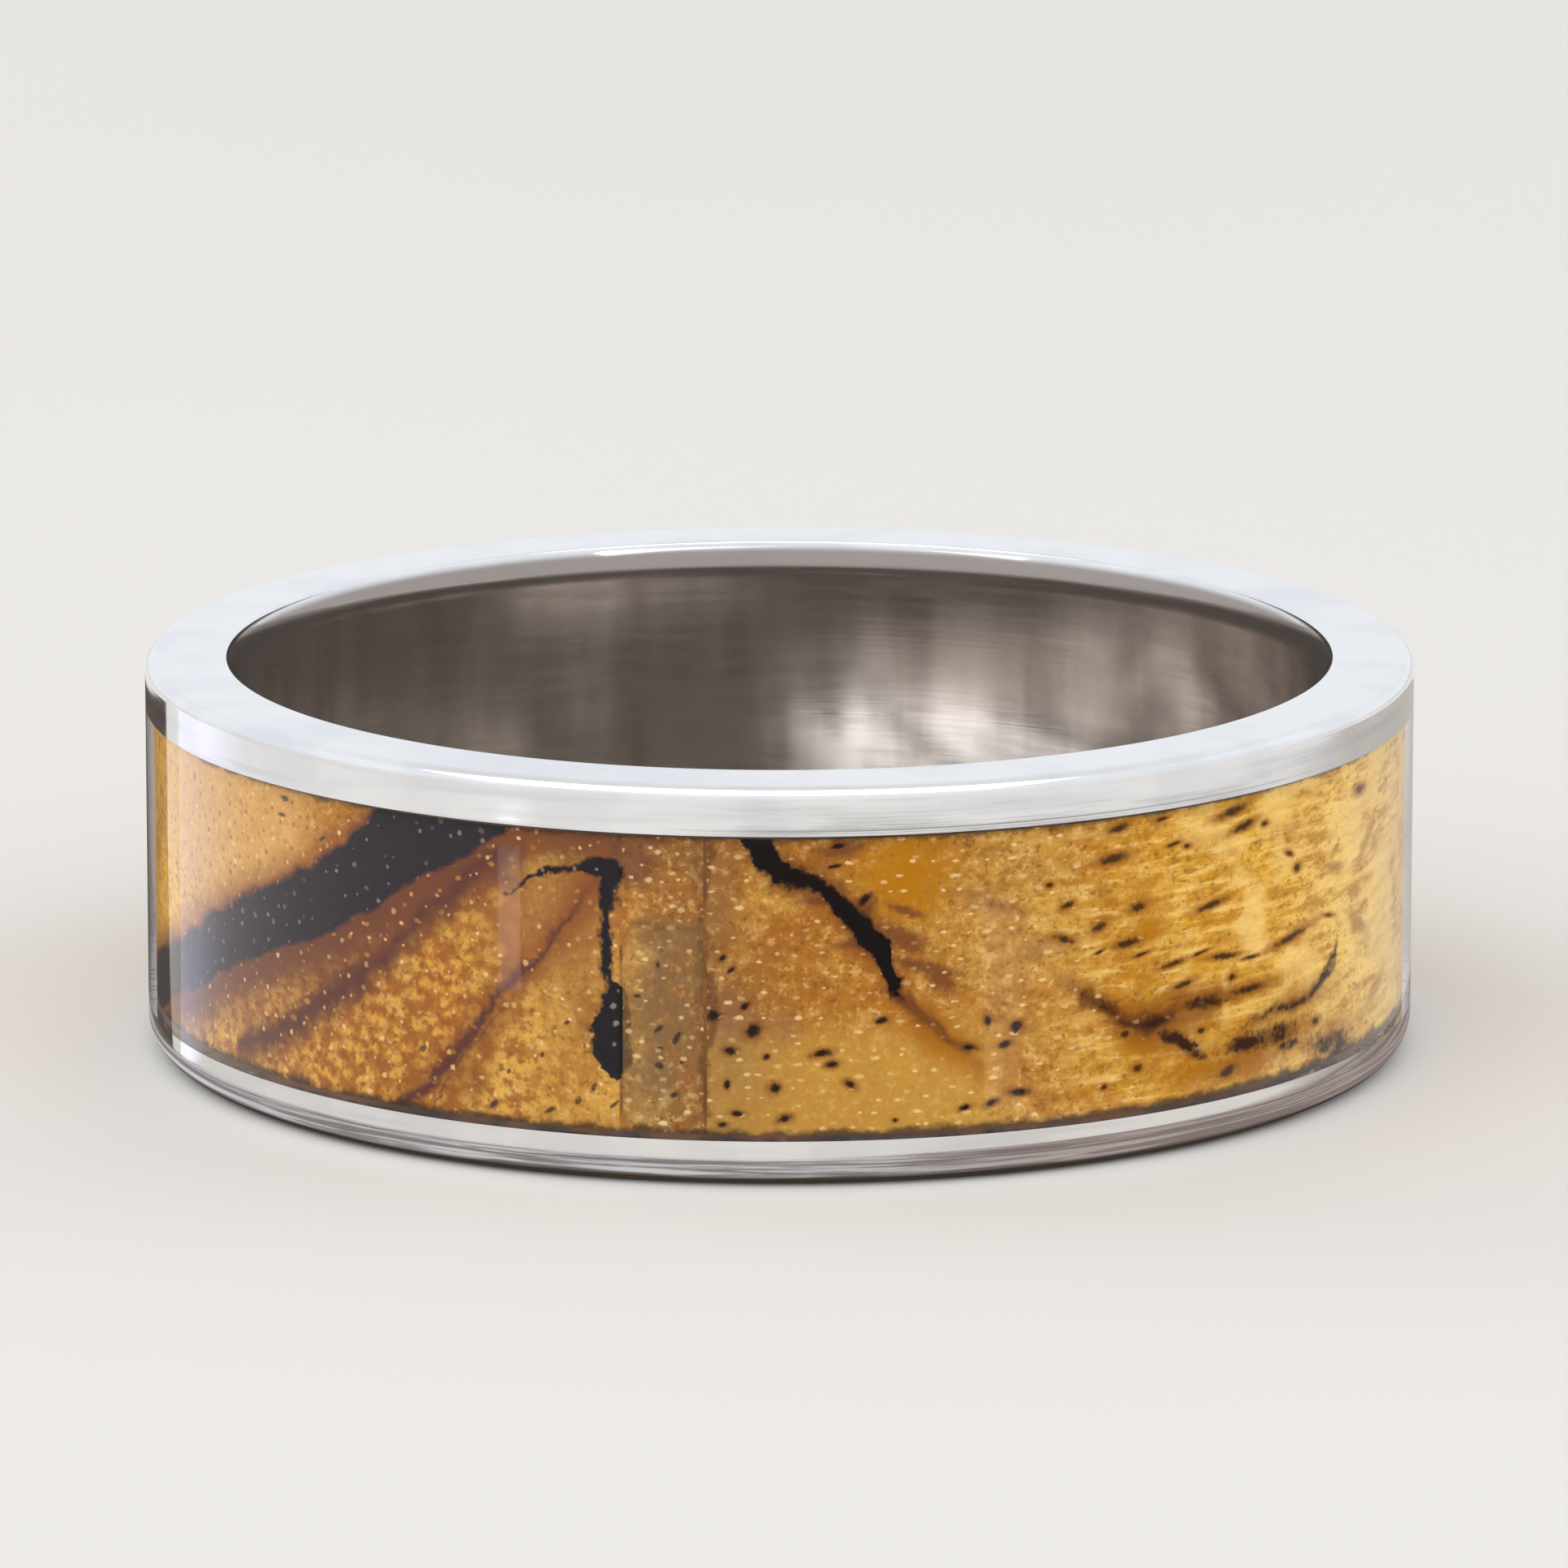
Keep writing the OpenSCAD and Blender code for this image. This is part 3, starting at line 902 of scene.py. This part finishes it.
class RING_OT_coat(RingOperator, bpy.types.Operator):
    """Builds the clear coat over the wood, flush with the rails"""
    bl_idname = "ring.coat"
    bl_label = "Clear coat"

    def execute(self, context):
        shape, _ = self.settings(context)
        inner = WOOD_R + shape.coat_gap
        bm = turned([(inner, -CHANNEL_Z), (BAND_R, -CHANNEL_Z), (BAND_R, CHANNEL_Z),
                     (inner, CHANNEL_Z)], shape.steps)
        smooth(bm)
        for face in bm.faces:
            centre = face.calc_center_median()
            outside = math.hypot(centre.x, centre.y) > BAND_R - shape.coat_gap
            face.material_index = 0 if outside else 1
        add_piece("ring_clear_coat", bm, [coat_finish(), coat_inside_finish()],
                  "clear_coat", "clear_coat")
        return {"FINISHED"}


def floor_finish(shade):
    """One plain dull colour, faintly uneven."""
    shader = Shader("floor")
    at = shader.place()
    drift = shader.noise(at, 0.02, 2.0)
    return shader.solid({
        "Base Color": shader.mix(shade, tuple(0.97 * part for part in shade), drift),
        "Roughness": 0.6,
        "Specular IOR Level": 0.0})


def softbox(name, place, width, depth, power, tint):
    """A rectangular light that shines at the ring and isn't seen itself."""
    lamp = bpy.data.lights.new(name, "AREA")
    lamp.shape, lamp.size, lamp.size_y = "RECTANGLE", width, depth
    lamp.energy, lamp.color = power, tint
    box = bpy.data.objects.new(name, lamp)
    box.location = place
    box.rotation_euler = (-Vector(place)).to_track_quat("-Z", "Y").to_euler()
    box.visible_camera = False
    bpy.context.scene.collection.objects.link(box)
    return box


def soft_sky():
    """Light from all round, a little weaker and warmer from straight above."""
    shader = Shader("stage_world", world=True)
    way = shader.node("TexCoord", None, None, "Generated")
    _, _, up = shader.split(way)
    cloud = shader.noise(way, 1.5, 2.0).step(0.3, 0.7)
    shade = shader.mix((0.93, 0.96, 1.0), (0.80, 0.78, 0.76), up.step(0.5, 1.0))
    shade = shader.mix(shade, (0.80, 0.82, 0.86), cloud * 0.5)
    return shader.finish(shader.node("Background", None, {"Color": shade, "Strength": 1.0}))


def card_finish(name, shade, corner, start, end):
    """A card that reflections see, fading in from angle start to angle end round a corner."""
    shader = Shader(name)
    x, y, _ = shader.split(shader.place())
    angle = x.maths("ARCTAN2", y - corner[1], x - corner[0]) * math.degrees(1.0)
    return shader.glow_on_clear(shade, angle.step(start, end))


def shade_finish():
    """A dark card on the ground in front and on the right that only reflections see: a painted dark
    reflection, which keeps the clear coat clear there.
    """
    shader = Shader("stage shade")
    _, x, y, _, out = shader.around()
    turn = x.maths("ARCTAN2", x, -y) * math.degrees(1.0)
    # The rails mirror what lies beyond this reach, so they stay bright
    reach = out + turn * turn * 0.00037
    dark = turn.step(-22.0, 4.0) * turn.step(172.0, 150.0) * out.step(15.2, 16.2)
    return shader.glow_on_clear((0.05, 0.035, 0.025), dark * reach.step(38.6, 37.6))


def painted_reflection_finish():
    """A glowing card that only reflections see, so all of it is painted reflection: dark brown
    painted shade with bright painted panes for the bore, and the floor round the foot of the lower
    rail.
    """
    shader = Shader("stage painted reflection")
    at, x, y, _, out = shader.around()
    cloud = shader.noise(at, 0.22, 3.0).step(0.45, 0.7)
    fine = shader.noise(shader.stretch(at, 1.0, 0.2, 1.0), 1.0, 4.0)
    shade = shader.mix((0.09, 0.065, 0.05), (0.42, 0.37, 0.33), cloud)
    shade = shader.mix(shade, (0.04, 0.028, 0.022), fine.step(0.5, 0.3) * 0.7)
    # Bright panes in the bore are painted highlights
    pane_highlights = x.step(0.5, -3.5) * x.step(-9.7, -8.7) * y.step(-9.5, -7.0) * y.step(5.0, 0.0)
    shade = shader.mix(shade, (2.0, 2.0, 2.05), pane_highlights * fine.step(0.38, 0.54))
    # Round the foot: the painted reflection of the floor, grey, streaked and browner on the right,
    # with painted contact shadow dark against the ring
    reflection_streak = shader.noise(shader.join(out * 4.5, x * 0.3), 1.0, 4.0, 0.6)
    right = x.step(-1.0, 6.0)
    grey = shader.mix((0.62, 0.61, 0.62), (0.46, 0.38, 0.35), right)
    grey = shader.mix(grey, (0.20, 0.16, 0.14), reflection_streak.step(0.4, 0.56) * 0.85)
    grey = shader.mix(grey, (0.05, 0.035, 0.027), out.step(11.15, 10.95))
    shade = shader.mix(shade, grey, out.step(10.2, 10.6))
    return shader.glow_on_clear(shade, (out - right * 0.9).step(12.3, 11.8))


def add_card(name, bm, finish):
    """Lays a card on the stage that only reflections see."""
    card = add_object(name, bm, [finish])
    card.visible_camera = card.visible_diffuse = card.visible_shadow = False
    card.visible_transmission = card.visible_volume_scatter = False


def over_floor(mm):
    """The height of something that lies a little over the floor."""
    return cad_low[2] + mm * MM


# These cards glow and only reflections see them: painted reflections, the flag dark, the right card
# grey, the left card and the two streaks bright
# Each card: its colour, the angles that it fades in between, and its (x, y) corners in
# millimetres, of which the first is the one that the angles turn about
CARDS = {
    "stage_flag": ((0.10, 0.08, 0.07), 130.5, 129.5, [
        (-10.8, -3.6), (-9.0, 7.0), (-9.0, 33.0), (-28.0, 24.0)]),
    "stage_card_left": ((1.05, 1.05, 1.2), 165.0, 140.0, [
        (-10.8, -3.6), (-36.4, 26.9), (-50.0, 8.0)]),
    "stage_streak_left": ((5.0, 5.0, 5.4), -180.0, -179.0, [
        (-15.3, -18.5), (-14.4, -19.7), (-22.7, -27.3), (-24.2, -25.6)]),
    "stage_streak_right": ((2.2, 2.1, 2.0), -180.0, -179.0, [
        (6.6, -14.8), (7.5, -14.0), (17.8, -25.0), (15.6, -26.8)]),
    "stage_card_right": ((0.55, 0.51, 0.47), 5.0, 45.0, [
        (9.0, -7.0), (38.5, -5.5), (36.0, 13.0), (26.0, 28.0), (10.0, 31.0), (8.0, 9.0)]),
}


class RING_OT_stage(RingOperator, bpy.types.Operator):
    """Sets the floor, the light and the camera round the ring"""
    bl_idname = "ring.stage"
    bl_label = "Stage"

    def lay_floor(self, shade):
        bm = bmesh.new()
        bmesh.ops.create_grid(bm, x_segments=1, y_segments=1, size=3.0,
                              matrix=Matrix.Translation((0.0, 0.0, over_floor(0.0))))
        add_object("stage_floor", bm, [floor_finish(shade)])

    def lay_cards(self):
        for name, radius, lift, finish in (("stage_painted_reflection", 14.2, 0.025, painted_reflection_finish),
                                           ("stage_shade", 40.0, 0.005, shade_finish)):
            bm = bmesh.new()
            bmesh.ops.create_circle(bm, cap_ends=True, segments=96, radius=radius * MM,
                                    matrix=Matrix.Translation((0.0, 0.0, over_floor(lift))))
            add_card(name, bm, finish())
        for name, (shade, start, end, corners) in CARDS.items():
            bm = bmesh.new()
            bm.faces.new([bm.verts.new((x * MM, y * MM, over_floor(0.02))) for x, y in corners])
            add_card(name, bm, card_finish(name, shade, corners[0], start, end))

    def light(self):
        softbox("light_front", (-0.05, -0.36, 0.44), 1.2, 0.55, 3.2, (1.0, 0.98, 0.95))
        for name, place, power in (("light_left", (-0.42, 0.2, 0.12), 0.9),
                                   ("light_right", (0.45, 0.05, 0.12), 0.6)):
            side = softbox(name, place, 0.3, 0.3, power, (1.0, 0.97, 0.93))
            side.visible_glossy = False

    def aim_camera(self, scene):
        """Looks at the middle of the ring from the front and a little above."""
        sight = Vector((0.0, math.cos(VIEW_TILT), -math.sin(VIEW_TILT)))
        camera = bpy.data.cameras.new("camera")
        camera.sensor_width, camera.lens = 36.0, 282.3
        camera.clip_start, camera.clip_end = 0.01, 20.0
        eye = bpy.data.objects.new("camera", camera)
        eye.location = VIEW_CENTRE - sight * VIEW_DISTANCE
        eye.rotation_euler = sight.to_track_quat("-Z", "Y").to_euler()
        scene.collection.objects.link(eye)
        scene.camera = eye

    def execute(self, context):
        scene = context.scene
        self.lay_floor(scene.ring_colours.floor)
        self.lay_cards()
        self.light()
        self.aim_camera(scene)
        scene.world = soft_sky()
        scene.view_settings.view_transform = "Standard"
        return {"FINISHED"}


PIECES = (RING_OT_band, RING_OT_adhesive, RING_OT_wood, RING_OT_coat, RING_OT_stage)


class RING_PT_panel(bpy.types.Panel):
    """Lists the ring's pieces in the sidebar"""
    bl_idname = "RING_PT_panel"
    bl_label = "Channel-inlay ring"
    bl_space_type = "VIEW_3D"
    bl_region_type = "UI"
    bl_category = "Ring"

    def draw(self, context):
        for group in (context.scene.ring_shape, context.scene.ring_colours):
            box = self.layout.box()
            for name in group.__annotations__:
                box.prop(group, name)
        for piece in PIECES:
            self.layout.operator(piece.bl_idname)


CLASSES = (RingShape, RingColours, *PIECES, RING_PT_panel)


def register():
    for made in CLASSES:
        bpy.utils.register_class(made)
    bpy.types.Scene.ring_shape = bpy.props.PointerProperty(type=RingShape)
    bpy.types.Scene.ring_colours = bpy.props.PointerProperty(type=RingColours)


def unregister():
    del bpy.types.Scene.ring_colours
    del bpy.types.Scene.ring_shape
    for made in reversed(CLASSES):
        bpy.utils.unregister_class(made)


def main():
    """Builds everything."""
    register()
    for piece in PIECES:
        group, name = piece.bl_idname.split(".")
        getattr(getattr(bpy.ops, group), name)()


if __name__ == "__main__":
    main()
